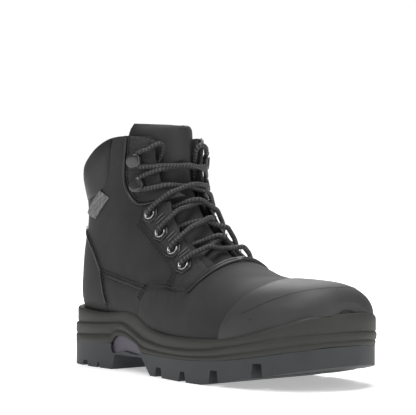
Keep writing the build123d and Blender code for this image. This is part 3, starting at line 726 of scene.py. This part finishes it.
lowHalf = halfLace(-1, lacing["lowDrop"], lacing["low"], mirrored(lacing["underOut"]))
highHalf = halfLace(1, lacing["highDrop"], lacing["high"], mirrored(lacing["highUnder"][::-1]))
laceRoute = lowHalf[:0:-1] + highHalf
routeData = bpy.data.curves.new("laceRoute", "CURVE")
routeData.dimensions = "3D"
spline = routeData.splines.new("NURBS")
spline.points.add(len(laceRoute) - 1)
for point, place in zip(spline.points, laceRoute):
    point.co = (*place, 1)
spline.order_u = 3
spline.use_endpoint_u = True
spline.resolution_u = 8
routeObject = bpy.data.objects.new("laceRoute", routeData)
bpy.context.collection.objects.link(routeObject)
bpy.context.view_layer.update()
routeMesh = bpy.data.meshes.new_from_object(routeObject.evaluated_get(bpy.context.evaluated_depsgraph_get()))
lacePoints = np.array([tuple(v.co) for v in routeMesh.vertices])
bpy.data.objects.remove(routeObject)
lace = tube("lace", lacePoints, lacing["radius"], mats["lace"], 12)
finish(lace, "boot", "lace_cord", "lace")
print("lace made", len(lacePoints), "points")


# eyelets: a dark six-sided washer with a rolled ring; hooks: a bent strip with a rounded lip
def ringAt(place, centreHeight, major, minor, steps=28, around=10):
    verts, faces = [], []
    for i in range(steps):
        a = 2 * math.pi * i / steps
        for k in range(around):
            b = 2 * math.pi * k / around
            r = major + minor * math.cos(b)
            verts.append(tuple(local(place, r * math.cos(a), r * math.sin(a),
                                     centreHeight + minor * math.sin(b))))
            p, q = (i + 1) % steps, (k + 1) % around
            faces.append((i * around + k, p * around + k, p * around + q, i * around + q))
    return verts, faces


def lathe(place, profile, steps=24, sides=0):
    # a ring turned from a closed profile of (radius, height); with sides the outermost points keep to a polygon
    verts, faces, n = [], [], len(profile)
    for i in range(steps):
        a = 2 * math.pi * i / steps
        flat = math.cos(math.pi / sides) / math.cos((a % (2 * math.pi / sides)) - math.pi / sides) if sides else 1.0
        for k, (r, h) in enumerate(profile):
            reach = r * flat * 1.12 if r > 5.5 else r
            verts.append(tuple(local(place, reach * math.cos(a), reach * math.sin(a), h)))
            p, q = (i + 1) % steps, (k + 1) % n
            faces.append((i * n + k, p * n + k, p * n + q, i * n + q))
    return verts, faces


def bentHook(place, along=26, around=14):
    spine = smoothLine([(-6.2, 0.9), (0, 0.8), (4.6, 0.9), (6.3, 2.4), (6.5, 4.6), (5.0, 6.4), (0.5, 7.1),
                        (-4.6, 6.7)], 0.6)
    verts, faces = [], []
    tangent = np.gradient(spine, axis=0)
    tangent /= np.linalg.norm(tangent, axis=1, keepdims=True)
    t = np.linspace(0, 1, len(spine))
    width = np.interp(t, [0, 0.08, 0.3, 0.45, 0.58, 0.72, 0.9, 0.97, 1],
                      [2.0, 4.8, 5.2, 3.2, 3.2, 5.2, 5.4, 3.8, 1.2])
    for (x, z), (tx, tz), w in zip(spine, tangent, width):
        for k in range(around):
            a = 2 * math.pi * k / around
            ca, sa = math.cos(a), math.sin(a)
            y = w * math.copysign(abs(ca) ** 0.6, ca)
            rise = 0.55 * math.copysign(abs(sa) ** 0.8, sa)
            verts.append(tuple(local(place, x - tz * rise, y, z + tx * rise)))
    n = len(spine)
    faces = [(i * around + k, i * around + (k + 1) % around, (i + 1) * around + (k + 1) % around,
              (i + 1) * around + k)
             for i in range(n - 1) for k in range(around)]
    return verts, faces + [tuple(range(around))[::-1], tuple(range((n - 1) * around, n * around))]


def several(name, shapes, finishName, slotName, *nodes):
    verts, faces = [], []
    for shapeVerts, shapeFaces in shapes:
        faces += [tuple(v + len(verts) for v in f) for f in shapeFaces]
        verts += shapeVerts
    obj = makeObject(name, verts, faces, mats[finishName])
    work = bmesh.new()
    work.from_mesh(obj.data)
    bmesh.ops.recalc_face_normals(work, faces=work.faces)
    work.to_mesh(obj.data)
    work.free()
    return finish(obj, "boot", slotName, *nodes)


washer = [(7.0, 0.2), (7.0, 0.8), (6.5, 1.1), (4.2, 1.1), (4.2, 0.2)]
barrel = [(3.0, 1.2), (3.5, 1.2), (3.5, -5.2), (3.0, -5.2)]
for label, side in sides.items():
    several(label + "Washers", [lathe(p, washer, 48, 6) for p in eyeletSeats[side]], "hookBlack",
            "gunmetal", "eyelets_" + label)
    several(label + "EyeletRings", [ringAt(p, 1.35, 4.0, 0.95) for p in eyeletSeats[side]], "gunmetal",
            "gunmetal")
    several(label + "EyeletBarrels", [lathe(p, barrel) for p in eyeletSeats[side]], "gunmetal", "gunmetal")
    several(label + "Hooks", [bentHook(p) for p in hookSeats[side]], "hookBlack", "hook_metal",
            "hooks_" + label)
print("eyelets and hooks made")


# midsole: one moulded ring with a rounded rim, a step and a groove
soleSide = {
    "top": [(-8, 48.5), (0, 48), (20, 46.5), (60, 44), (90, 46), (102, 46), (116, 43), (129, 37),
            (150, 32.5), (175, 31.5),
            (205, 32), (232, 34), (258, 38.5), (282, 46), (300, 52), (316, 55)],
    "band": [(-8, 33), (20, 33.5), (64, 35), (87, 36.5), (98, 35), (110, 30.5), (125, 26), (146, 23.5),
             (175, 22.5),
             (205, 23.5), (233, 27), (282, 35.5), (300, 38.5), (316, 41)],
    "bottom": [(-8, 17), (24, 17.5), (76, 20.5), (90, 19), (108, 18), (124, 16.5), (150, 16), (180, 16.2),
               (210, 17),
               (234, 19), (271, 24.5), (300, 30), (316, 33)],
    "window": [(79, 15.5), (80, 22), (82.5, 25.4), (86, 27), (94, 27), (101, 26), (109, 23.8), (116, 21.3),
               (123, 15.5)],
}
soleOutline = [(3, 16, 16), (10, 28, 28), (22, 36.5, 36.5), (40, 41, 41), (60, 42.5, 42), (85, 42, 40.5),
               (110, 43.5, 39),
               (135, 47, 39.5), (160, 51.5, 42.5), (185, 55, 47.5), (210, 56, 52.5), (232, 54.5, 56),
               (252, 51.5, 54.5),
               (270, 45.5, 51), (286, 37, 44.5), (298, 25.5, 33)]
rim = [(0, 0)] + [(x, -outer) for x, outer, _ in soleOutline] + [(306, 9)] + [(x, inner) for x, _,
                                                                              inner in soleOutline[::-1]]
rim = smoothLine(rim[-4:] + rim + rim[:4], 0.5)
starts = [i for i in range(len(rim)) if np.linalg.norm(rim[i] - (0, 0)) < 0.6]
rim = rim[starts[0]:starts[-1]]
rim = rim[::4]
tangent = np.roll(rim, -1, axis=0) - np.roll(rim, 1, axis=0)
tangent /= np.linalg.norm(tangent, axis=1, keepdims=True)
away = np.column_stack([tangent[:, 1], -tangent[:, 0]])
away *= np.sign(((rim - (150, 0)) * away).sum())
heights = {}
for part in ("top", "band", "bottom"):
    line = smoothLine(soleSide[part], 1.0)
    heights[part] = np.interp(rim[:, 0], line[:, 0], line[:, 1])
arch = smoothLine(soleSide["window"], 0.8)
overWindow = np.interp(rim[:, 0], arch[:, 0], arch[:, 1], left=0, right=0)
heights["bottom"] = np.maximum(heights["bottom"], overWindow)
rings = []
for spot, out, zt, zb, zo in zip(rim, away, heights["top"], heights["band"], heights["bottom"]):
    zm = zb - 0.5 * (zb - zo)
    e = 2.4 * np.clip((spot[0] - 225) / 45, 0, 1)
    profile = [(-10, zt + 0.2), (-5, zt + 0.6), (e - 3.6, zt + 0.8), (e - 2.6, zt + 0.5),
               (e - 1.8, zt - 0.3), (e - 1.45, zt - 1.6),
               (e - 1.5, zb + 2.6), (e - 1.9, zb + 2.0), (e - 1.9, zb + 1.5), (e - 1.1, zb + 1.0),
               (0.6 * e - 0.2, zb + 0.5),
               (0.6 * e, zb - 0.4), (0.5 * e, zm + 1.1), (0.5 * e - 0.7, zm + 0.5),
               (0.4 * e - 0.7, zm - 0.3), (0.3 * e, zm - 0.9),
               (0.1 * e, zo + 0.5), (-0.4, zo), (-10, zo)]
    rings.append([(spot[0] + out[0] * o, spot[1] + out[1] * o, z) for o, z in profile])
n, m = len(rings), len(rings[0])
ringFaces = [(i * m + j, i * m + (j + 1) % m, ((i + 1) % n) * m + (j + 1) % m,
              ((i + 1) % n) * m + j) for i in range(n) for j in range(m)]
several("midsoleRing", [([p for ring in rings for p in ring], ringFaces)], "midsole", "pu", "midsole")
print("midsole made")


# padded collar, one closed ring round the heel
collar = {"columns": 150, "bulge": 1.2, "roll": 4.3, "inside": -8.2}
topLine = [(6.5, 161.5), (12, 163), (33, 169), (52, 178), (69, 184), (77, 185)]
aroundFoot = np.concatenate([backLoc(smoothLine(seams["collarFoot"]), 1)[::-1],
                             backLoc(smoothLine(seams["collarFoot"]), -1)])
aroundTop = np.concatenate([backLoc(smoothLine(topLine), 1)[::-1], backLoc(smoothLine(topLine), -1)])
aroundFoot, aroundTop = aroundFoot[np.argsort(aroundFoot[:, 1])], aroundTop[np.argsort(aroundTop[:, 1])]
turnRange = np.linspace(max(aroundFoot[0, 1], aroundTop[0, 1]), min(aroundFoot[-1, 1], aroundTop[-1, 1]),
                        collar["columns"])
lowS = np.interp(turnRange, aroundFoot[:, 1], aroundFoot[:, 0])
highS = np.interp(turnRange, aroundTop[:, 1], aroundTop[:, 0])
columns = []
for turn, s0, s1 in zip(turnRange, lowS, highS):
    a = onLast([s1 - 0.05], [turn])[0]
    b = onLast([s1], [turn])[0]
    up = (b - a) / np.linalg.norm(b - a)
    pitch = np.linalg.norm(b - a) / 0.05
    centre = s1 - collar["roll"] / pitch
    span = np.clip((centre - s0) * pitch / 30, 0.05, 1)
    t = np.linspace(0, 1, 14)
    puff = collar["bulge"] * span * np.sin(math.pi * np.clip(t, 0, 1)) ** 0.8
    outer = raised(s0 + (centre - s0) * t, np.full(14, turn), 0.5 + puff + 0.3 * np.sin(9 * turn + 3 * t))
    middle = (0.5 + collar["inside"]) / 2
    radius = (0.5 - collar["inside"]) / 2
    phi = np.linspace(0, math.pi, 12)[1:-1]
    over = raised(np.full(10, centre), np.full(10, turn),
                  middle + radius * np.cos(phi)) + up * collar["roll"] * np.sin(phi)[:, None]
    down = np.linspace(0, 1, 8)
    inner = raised(centre + (s0 - centre) * down, np.full(8, turn),
                   collar["inside"] - 0.8 * span * np.sin(math.pi * down))
    columns.append(np.concatenate([outer, over, inner]))
columns = np.array(columns)
count = columns.shape[1]
faces = [(i * count + j, i * count + (j + 1) % count, (i + 1) * count + (j + 1) % count, (i + 1) * count + j)
         for i in range(len(columns) - 1) for j in range(count)]
faces += [tuple(range(count))[::-1], tuple(range((len(columns) - 1) * count, len(columns) * count))]
collarRing = makeObject("paddedCollar", columns.reshape(-1, 3), faces, mats["smoothLeather"])
bmWork = bmesh.new()
bmWork.from_mesh(collarRing.data)
bmesh.ops.recalc_face_normals(bmWork, faces=bmWork.faces)
bmWork.to_mesh(collarRing.data)
bmWork.free()
finish(collarRing, "boot", "smooth_leather", "collar", "collar_foam", "collar_lining")
print("collar made")


# tongue: a padded leather top over a fabric leaf
def tongueTurn(s, halfWidth):
    flat = readRib(np.atleast_1d(s))
    wide, roof = np.minimum(flat[:, 4], flat[:, 5]) - 10.4, flat[:, 7]
    return np.arcsin(np.clip(halfWidth / wide, 0, 0.999) ** (roof / 2))


def tongueOutline(s0, s1, half, corner, lift):
    s = np.linspace(s0, s1, 40)
    edge = np.minimum(tongueTurn(s, half), np.interp(s, [8, 10, 13, 15], [0.9, 0.95, 1.2, 1.6]))
    edge[-3:] -= corner * np.array([0.12, 0.4, 1.0])
    right = np.column_stack([s + lift * (np.linspace(0, 1, 40) ** 4), edge])
    share = np.linspace(1, -1, 26)[1:-1]
    top = np.column_stack([s1 + lift * np.abs(share) ** 1.6, share * right[-1, 1]])
    left = right[::-1] * (1, -1)
    foot = arc(left[-1][0], left[-1][1], right[0][0], right[0][1], 14)[1:-1]
    return joined(right, top, left, foot)


tongue = {"face": -10.4, "crown": 2.5, "half": 28.6, "start": 7.0, "split": 13.6, "top": 17.22,
          "cornerLift": 0.42}


def tongueHeight(base, puff, waves):
    def height(away, loc):
        soft = puff * (1 - np.exp(-away / 5)) + waves * np.sin(loc[:, 0] * 4.6) * np.clip(away / 10, 0, 1)
        return base + soft - 1.6 * np.exp(-(away / 2.2) ** 2)
    return height


leaf = patch("tongueLeaf", tongueOutline(tongue["start"], tongue["split"] + 0.4, tongue["half"], 0.0, 0.0),
             tongueHeight(tongue["face"] - 0.6, 0.6, 0.25), 4.4, mats["tongueFabric"], 2.4, tongue["crown"])
finish(leaf, "tongue", "mesh", "tongue_body")
pad = patch("tongueTop", tongueOutline(tongue["split"], tongue["top"], tongue["half"], 0.12,
                                       tongue["cornerLift"]),
            tongueHeight(tongue["face"] + 0.2, 1.2, 0.0), 6.4, mats["tongueLeather"], 2.4, tongue["crown"],
            1.6)
finish(pad, "tongue", "smooth_leather", "tongue_pad", "tongue_panel")
print("tongue made")


# piping and binding
for label, side in sides.items():
    pipes = {"Facing": (seams["facingEdge"] + seams["facingFoot"][1:3], 1.25, 0.9, "foldedEdge",
                        "facing_piping_" + label),
             "Backstay": (seams["heelEdge"][1:], 1.0, 0.9, "foldedEdge", "backstay_piping_" + label)}
    for kind, (line, radius, height, finishName, node) in pipes.items():
        pipe = tube(label + kind + "Piping", onSeam(smoothLine(line, 1.2), side, height), radius,
                    mats[finishName], 10)
        finish(pipe, "boot", "piping_leather", node)
bindingLines = [onSeam(smoothLine([(178, 65.5), (182, 70), (188, 79), (193, 91)], 1.2), side, 1.5, shift)
                for side in (-1, 1) for shift in (-1.3, 1.3)]
for index, line in enumerate(bindingLines):
    pipe = tube("throatBinding" + str(index), line, 1.3, mats["foldedEdge"], 10)
    finish(pipe, "boot", "piping_leather", *(["throat_binding"] if index == 0 else []))
ridgeLine = [onSeam(smoothLine([(246, 52), (263, 60), (284, 68), (297, 70.5)], 1.2), side,
                    2.1) for side in (-1, 1)]
for index, line in enumerate(ridgeLine):
    finish(tube("bumperRidge" + str(index), line, 0.45, mats["bumper"], 8), "boot", "tpu")
print("piping made")


# stitches and bar tacks, laid along lines by one node group
def stitchGroup():
    group = bpy.data.node_groups.new("stitchRow", "GeometryNodeTree")
    sockets = {}
    for label, kind, value in (("Geometry", "NodeSocketGeometry", None),
                               ("Spacing", "NodeSocketFloat", 0.003),
                               ("Thread Size", "NodeSocketVector", (0.0004, 0.0004, 0.001)),
                               ("Seed", "NodeSocketInt", 7),
                               ("Thread", "NodeSocketMaterial", None)):
        socket = group.interface.new_socket(label, in_out="INPUT", socket_type=kind)
        if value is not None:
            socket.default_value = value
        sockets[label] = socket.identifier
    group.interface.new_socket("Geometry", in_out="OUTPUT", socket_type="NodeSocketGeometry")
    start, end = group.nodes.new("NodeGroupInput"), group.nodes.new("NodeGroupOutput")
    bead = addNode(group, "GeometryNodeMeshUVSphere", None, Segments=8, Rings=5, Radius=1.0)
    shaped = addNode(group, "GeometryNodeTransform", None, Geometry=bead.outputs[0],
                     Scale=start.outputs["Thread Size"])
    spread = addNode(group, "GeometryNodeCurveToPoints", {"mode": "LENGTH"},
                     Curve=start.outputs["Geometry"], Length=start.outputs["Spacing"])
    vary = addNode(group, "FunctionNodeRandomValue", {"data_type": "FLOAT"})
    vary.inputs[2].default_value, vary.inputs[3].default_value = 0.85, 1.1
    group.links.new(start.outputs["Seed"], vary.inputs["Seed"])
    placed = addNode(group, "GeometryNodeInstanceOnPoints", None, Points=spread.outputs["Points"],
                     Instance=shaped.outputs[0],
                     Rotation=spread.outputs["Rotation"], Scale=vary.outputs[1])
    solid = addNode(group, "GeometryNodeRealizeInstances", None, Geometry=placed.outputs[0])
    painted = addNode(group, "GeometryNodeSetMaterial", None, Geometry=solid.outputs[0],
                      Material=start.outputs["Thread"])
    group.links.new(painted.outputs[0], end.inputs[0])
    return group, sockets


stitchNodes, stitchSockets = stitchGroup()


def stitches(name, lines, thread, spacing=3.1, size=(0.55, 0.55, 1.15), seed=7):
    data = bpy.data.curves.new(name, "CURVE")
    data.dimensions = "3D"
    for line in lines:
        row = data.splines.new("POLY")
        row.points.add(len(line) - 1)
        for point, place in zip(row.points, line):
            point.co = ((place[0] - halfSole) * 0.001, place[1] * 0.001, place[2] * 0.001, 1)
    guide = bpy.data.objects.new(name + "Guide", data)
    bpy.context.collection.objects.link(guide)
    rows = guide.modifiers.new("rows", "NODES")
    rows.node_group = stitchNodes
    rows[stitchSockets["Spacing"]] = spacing * 0.001
    rows[stitchSockets["Thread Size"]] = [v * 0.001 for v in size]
    rows[stitchSockets["Seed"]] = seed
    rows[stitchSockets["Thread"]] = mats[thread]
    bpy.context.view_layer.update()
    mesh = bpy.data.meshes.new_from_object(guide.evaluated_get(bpy.context.evaluated_depsgraph_get()))
    bpy.data.objects.remove(guide)
    obj = bpy.data.objects.new(name, mesh)
    bpy.context.collection.objects.link(obj)
    return finish(obj, "boot", "nubuck")


rows = []
for side in (-1, 1):
    way = -side
    for shift in (2.6, 5.0):
        rows.append(onSeam(smoothLine(seams["wing"][2:]), side, 1.35, shift * way))
        rows.append(onSeam(smoothLine(seams["foxingTop"]), side, 0.75, shift * way))
        rows.append(onSeam(smoothLine(seams["quarterFront"]), side, 0.75, -shift * way))
    rows.append(onSeam(smoothLine(seams["facingEdge"]), side, 0.7, 2.8 * way))
    rows.append(onSeam(smoothLine(seams["heelEdge"][1:]), side, 1.1, -2.8 * way))
    rows.append(onSeam(smoothLine(seams["bumper"]), side, 1.6, -2.2 * way))
    rows.append(onSeam(smoothLine(seams["bumper"]), side, 1.6, -4.4 * way))
stitches("panelStitches", rows, "thread")
tacks = []
for side in (-1, 1):
    for first, second in zip(eyeletSeats[side], eyeletSeats[side][1:]):
        spot = (first[0] + second[0]) / 2
        ahead = (first[1] + second[1]).normalized()
        normal = (first[3] + second[3]).normalized()
        across = normal.cross(ahead)
        for shift in (-1.6, 1.6):
            tacks.append([tuple(spot + ahead * x + across * shift + normal * 0.5) for x in np.linspace(1.5,
                                                                                                       9.0,
                                                                                                       6)])
stitches("barTacks", tacks, "tackThread", 0.9, (0.45, 0.45, 0.8), 11)
print("stitches made")

# plain woven label
labelLoc = toLast(denser(seams["label"] + [seams["label"][0]], 1.5), -1)[:-1]
tag = patch("sideLabel", labelLoc, 1.6, 0.9, mats["label"], 1.5, 0.0, 0.2)
finish(tag, "boot", "label_woven", "side_label")


# finish on the pieces kept from the solid model
keptFinish = {"outsole": "outsole", "midsole": "midsole", "shank_stabilizer": "shank",
              "insole_board": "board", "puncture_plate": "plate",
              "footbed": "footbedFelt", "steel_toe_cap": "steelCap", "cap_edge_strip": "hookBlack",
              "toe_lining": "lining",
              "toe_bumper": "bumper", "eyelets_outer": "gunmetal", "eyelets_inner": "gunmetal",
              "hooks_outer": "hookBlack",
              "hooks_inner": "hookBlack", "hook_rivets_outer": "gunmetal", "hook_rivets_inner": "gunmetal",
              "heel_counter": "board",
              "heel_lining": "lining", "lining": "lining", "aglets": "aglet", "throat_binding": "foldedEdge",
              "backstay_piping_outer": "foldedEdge", "backstay_piping_inner": "foldedEdge",
              "facing_piping_outer": "foldedEdge",
              "facing_piping_inner": "foldedEdge", "side_label": "smoothLeather", "collar": "smoothLeather",
              "collar_foam": "foamCore",
              "collar_lining": "lining", "tongue_body": "tongueFabric", "tongue_pad": "tongueLeather",
              "tongue_panel": "tongueLeather",
              "lace": "lace"}
for node, finishName in keptFinish.items():
    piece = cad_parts[node]
    for index in range(len(piece.material_slots)):
        piece.material_slots[index].material = mats[finishName]
print("kept pieces finished")


# camera, floor and light
camera = bpy.data.objects.new("camera", bpy.data.cameras.new("camera"))
bpy.context.collection.objects.link(camera)
camera.data.lens, camera.data.sensor_width, camera.data.sensor_fit = 127.7, 36.0, "HORIZONTAL"
camera.location = (0.8932, -0.7206, 0.120)
camera.rotation_euler = (math.radians(90.44), 0, math.radians(51.2))
bpy.context.scene.camera = camera

floorMat = mouldedMaterial("paleFloor", (0.8, 0.8, 0.8), 0.7, bump=0.0)
# the floor glows though it is no lamp: painted light, weaker near the boot as a painted shadow pool and stronger
# farther out
floorMat.node_tree.nodes["Principled BSDF"].inputs["Emission Color"].default_value = (1, 1, 1, 1)
floorPlace = addNode(floorMat.node_tree, "ShaderNodeTexCoord")
floorReach = addNode(floorMat.node_tree, "ShaderNodeVectorMath", {"operation": "LENGTH"},
                     i0=floorPlace.outputs["Object"])
paintedFloorGlow = addNode(floorMat.node_tree, "ShaderNodeMapRange", None, Value=floorReach.outputs["Value"],
               From_Min=0.25, From_Max=1.2,
               To_Min=0.40, To_Max=1.05)
floorMat.node_tree.links.new(paintedFloorGlow.outputs[0],
                             floorMat.node_tree.nodes["Principled BSDF"].inputs["Emission Strength"])
bpy.ops.mesh.primitive_plane_add(size=30)
floor = bpy.context.object
floor.name = "floor"
floor.data.materials.append(floorMat)
lights = {"key": {"at": (0.35, -1.25, 1.5), "size": 1.0, "power": 17},
          "fill": {"at": (1.7, 0.3, 0.8), "size": 1.3, "power": 9},
          "rim": {"at": (-1.2, 1.0, 1.4), "size": 1.0, "power": 16},
          "top": {"at": (0.15, 0.15, 1.8), "size": 1.0, "power": 22}}
for label, facts in lights.items():
    data = bpy.data.lights.new(label, "AREA")
    data.size, data.energy = facts["size"], facts["power"]
    lamp = bpy.data.objects.new(label, data)
    lamp.location = facts["at"]
    lamp.rotation_euler = (Vector((0, 0, 0.09)) - lamp.location).to_track_quat("-Z", "Y").to_euler()
    bpy.context.collection.objects.link(lamp)

# a white backdrop behind the boot, a dimmer room elsewhere
world = bpy.data.worlds.new("studio")
bpy.context.scene.world = world
world.use_nodes = True
sky = world.node_tree
skyPlace = addNode(sky, "ShaderNodeTexCoord")
toward = addNode(sky, "ShaderNodeVectorMath", {"operation": "DOT_PRODUCT"}, i0=skyPlace.outputs["Generated"])
toward.inputs[1].default_value = (-0.779, 0.627, 0.0)
bright = addNode(sky, "ShaderNodeMapRange", None, Value=toward.outputs["Value"], From_Min=0.86,
                 From_Max=0.95, To_Min=0.22, To_Max=1.05)
sky.nodes["Background"].inputs["Color"].default_value = (1, 1, 1, 1)
sky.links.new(bright.outputs[0], sky.nodes["Background"].inputs["Strength"])
bpy.context.scene.view_settings.view_transform = "Standard"
